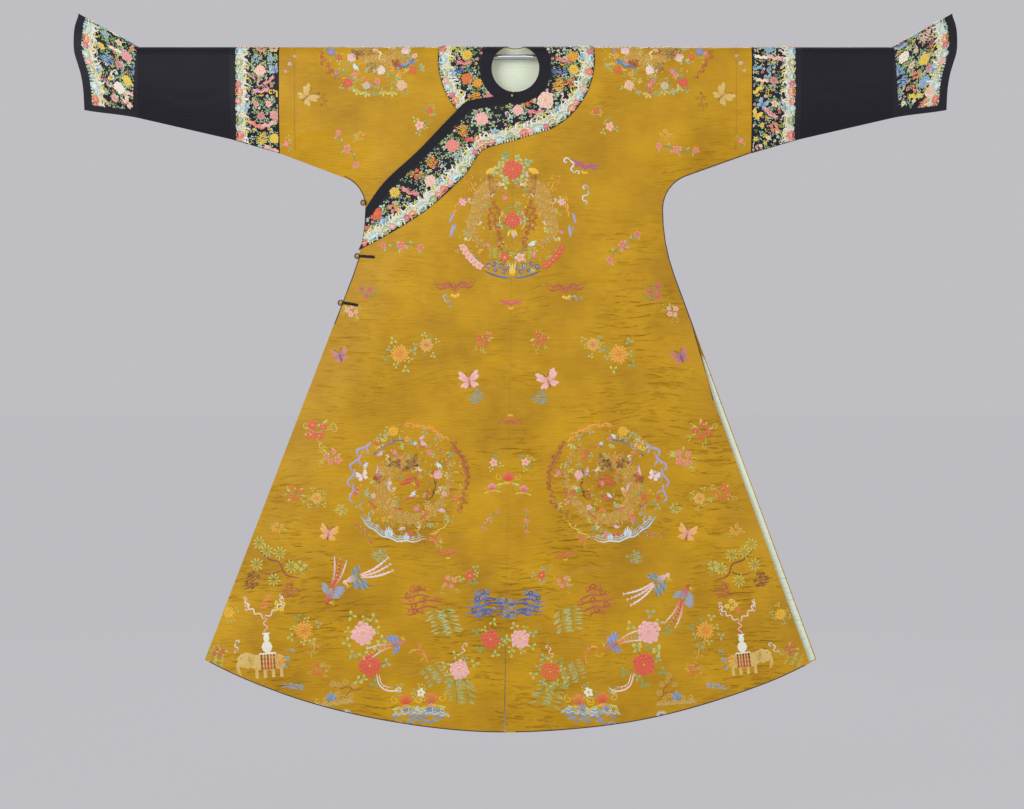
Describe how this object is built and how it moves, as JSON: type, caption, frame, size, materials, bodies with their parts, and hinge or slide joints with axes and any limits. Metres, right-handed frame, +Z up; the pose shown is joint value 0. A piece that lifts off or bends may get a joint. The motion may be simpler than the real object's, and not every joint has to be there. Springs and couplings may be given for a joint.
{
  "type": "chinese dragon robe on a hanging rod",
  "caption": "Long satin robe with a round collar, curved side overlap, flared skirt and horse-hoof cuffs, hanging from a padded rod.",
  "frame": {"origin": "middle of the hanging rod, on its axis, inside the neck of the robe", "axes": "+X along the rod towards the wearer's left sleeve, +Z up, and the robe's front faces -Y"},
  "size_m": [1.8502, 0.0548, 1.5076],
  "materials": {
    "gold_satin": "glossy silk satin, embroidered",
    "navy_satin": "navy silk satin, embroidered",
    "navy_silk": "plain navy silk with a low sheen",
    "mint_lining": "thin plain silk lining",
    "gilt_brass": "gilt, lightly worn",
    "dark_cord": "round silk cord",
    "rod_steel": "polished bare metal",
    "roll_cotton": "undyed cotton over wadding"
  },
  "bodies": {
    "root": {"front_left": "gold_satin", "front_overlap": "gold_satin", "front_under": "gold_satin", "back_left": "gold_satin", "back_right": "gold_satin", "back_left_skirt": "gold_satin", "back_right_skirt": "gold_satin", "back_lining": "mint_lining", "collar_overlap": "navy_satin", "collar_under": "navy_satin", "collar_back": "navy_satin", "binding_overlap": "navy_silk", "binding_under": "navy_silk", "binding_back": "navy_silk", "sleeve_band_left": "navy_satin", "sleeve_band_right": "navy_satin", "sleeve_end_left": "navy_silk", "sleeve_end_right": "navy_silk", "cuff_left": "navy_satin", "cuff_right": "navy_satin", "strap_side": "navy_silk", "strap_hip": "navy_silk", "knob_neck": "gilt_brass", "knob_underarm": "gilt_brass", "knob_side": "gilt_brass", "knob_hip": "gilt_brass", "loop_underarm": "dark_cord", "loop_side": "dark_cord", "loop_hip": "dark_cord", "hanging_rod": "rod_steel", "rod_roll_left": "roll_cotton", "rod_roll_right": "roll_cotton"}
  },
  "joints": []
}
